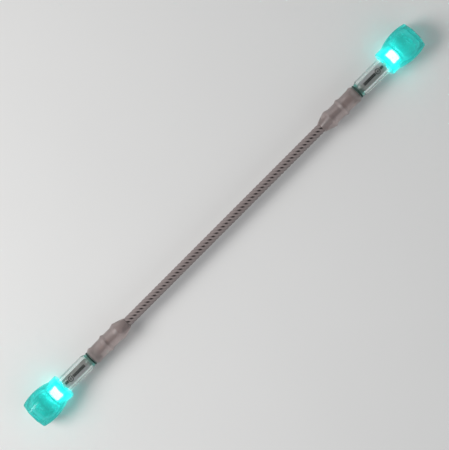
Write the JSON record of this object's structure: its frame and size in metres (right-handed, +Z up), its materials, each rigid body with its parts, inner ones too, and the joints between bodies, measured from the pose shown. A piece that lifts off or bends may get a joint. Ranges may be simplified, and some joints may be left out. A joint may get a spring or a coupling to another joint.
{
  "type": "devil stick",
  "caption": "Slim braid-covered rod with frosted sockets, clear screw-in battery lamps and soft eight-sided glowing caps at the ends.",
  "frame": {"origin": "middle of the stick, on its axis", "axes": "+X along the stick towards end a, +Z up, as it lies on one side of each eight-sided cap"},
  "size_m": [0.6, 0.0384, 0.0384],
  "materials": {
    "rod": "pultruded fibreglass, warm brown, satin",
    "braid": "round braided synthetic cord cover, light warm grey with a low sheen",
    "socket": "frosted translucent moulded plastic, faintly pink",
    "ferrule": "turned, satin",
    "brass": "stamped strip, lightly tarnished",
    "spring": "bright spring wire",
    "battery_can": "nickel-plated steel can",
    "battery_label": "shrunk film, off-white with dark polarity marks",
    "clear_tube": "clear moulded plastic with a slight green tint",
    "o_ring": "dark green rubber",
    "board": "green circuit board",
    "chips": "black moulded packages with tinned ends",
    "led": "lit LED package",
    "reflector": "white moulded reflector",
    "diffuser": "opal moulded plug, lit from behind",
    "glow_cap": "soft translucent teal silicone, lit from inside, satin"
  },
  "bodies": {
    "stick": {"rod_core": "rod", "braid_sleeve": "braid", "socket_a": "socket", "rod_ferrule_a": "ferrule", "contact_ring_a": "brass", "contact_spring_a": "spring", "socket_b": "socket", "rod_ferrule_b": "ferrule", "contact_ring_b": "brass", "contact_spring_b": "spring"},
    "cell_a": {"battery_a": "battery_can", "battery_label_a": "battery_label"},
    "lamp_a": {"lamp_tube_a": "clear_tube", "o_ring_a": "o_ring", "return_strip_a": "brass", "battery_contact_a": "brass", "driver_parts_a": "chips", "led_board_a": "board", "led_chip_a": "led", "reflector_a": "reflector", "diffuser_a": "diffuser"},
    "cap_a": {"glow_cap_a": "glow_cap"},
    "cell_b": {"battery_b": "battery_can", "battery_label_b": "battery_label"},
    "lamp_b": {"lamp_tube_b": "clear_tube", "o_ring_b": "o_ring", "return_strip_b": "brass", "battery_contact_b": "brass", "driver_parts_b": "chips", "led_board_b": "board", "led_chip_b": "led", "reflector_b": "reflector", "diffuser_b": "diffuser"},
    "cap_b": {"glow_cap_b": "glow_cap"}
  },
  "joints": [
    {"name": "cell_a_slide", "type": "slide", "parent": "stick", "child": "cell_a", "axis": [1, 0, 0], "range_m": [0, 0.008], "deforming": ["contact_spring_a"]},
    {"name": "lamp_a_twist", "type": "hinge", "parent": "cell_a", "child": "lamp_a", "pos_m": [0.206, 0, 0], "axis": [1, 0, 0], "range_deg": [0, 1440]},
    {"name": "cap_a_pull", "type": "slide", "parent": "lamp_a", "child": "cap_a", "axis": [1, 0, 0], "range_m": [0, 0.06]},
    {"name": "cell_b_slide", "type": "slide", "parent": "stick", "child": "cell_b", "axis": [-1, 0, 0], "range_m": [0, 0.008], "deforming": ["contact_spring_b"]},
    {"name": "lamp_b_twist", "type": "hinge", "parent": "cell_b", "child": "lamp_b", "pos_m": [-0.206, 0, 0], "axis": [-1, 0, 0], "range_deg": [0, 1440]},
    {"name": "cap_b_pull", "type": "slide", "parent": "lamp_b", "child": "cap_b", "axis": [-1, 0, 0], "range_m": [0, 0.06]}
  ],
  "couplings": [
    {"joint": "cell_a_slide", "follows": "lamp_a_twist", "m_per_rad": 0.0003183},
    {"joint": "cell_b_slide", "follows": "lamp_b_twist", "m_per_rad": 0.0003183}
  ]
}
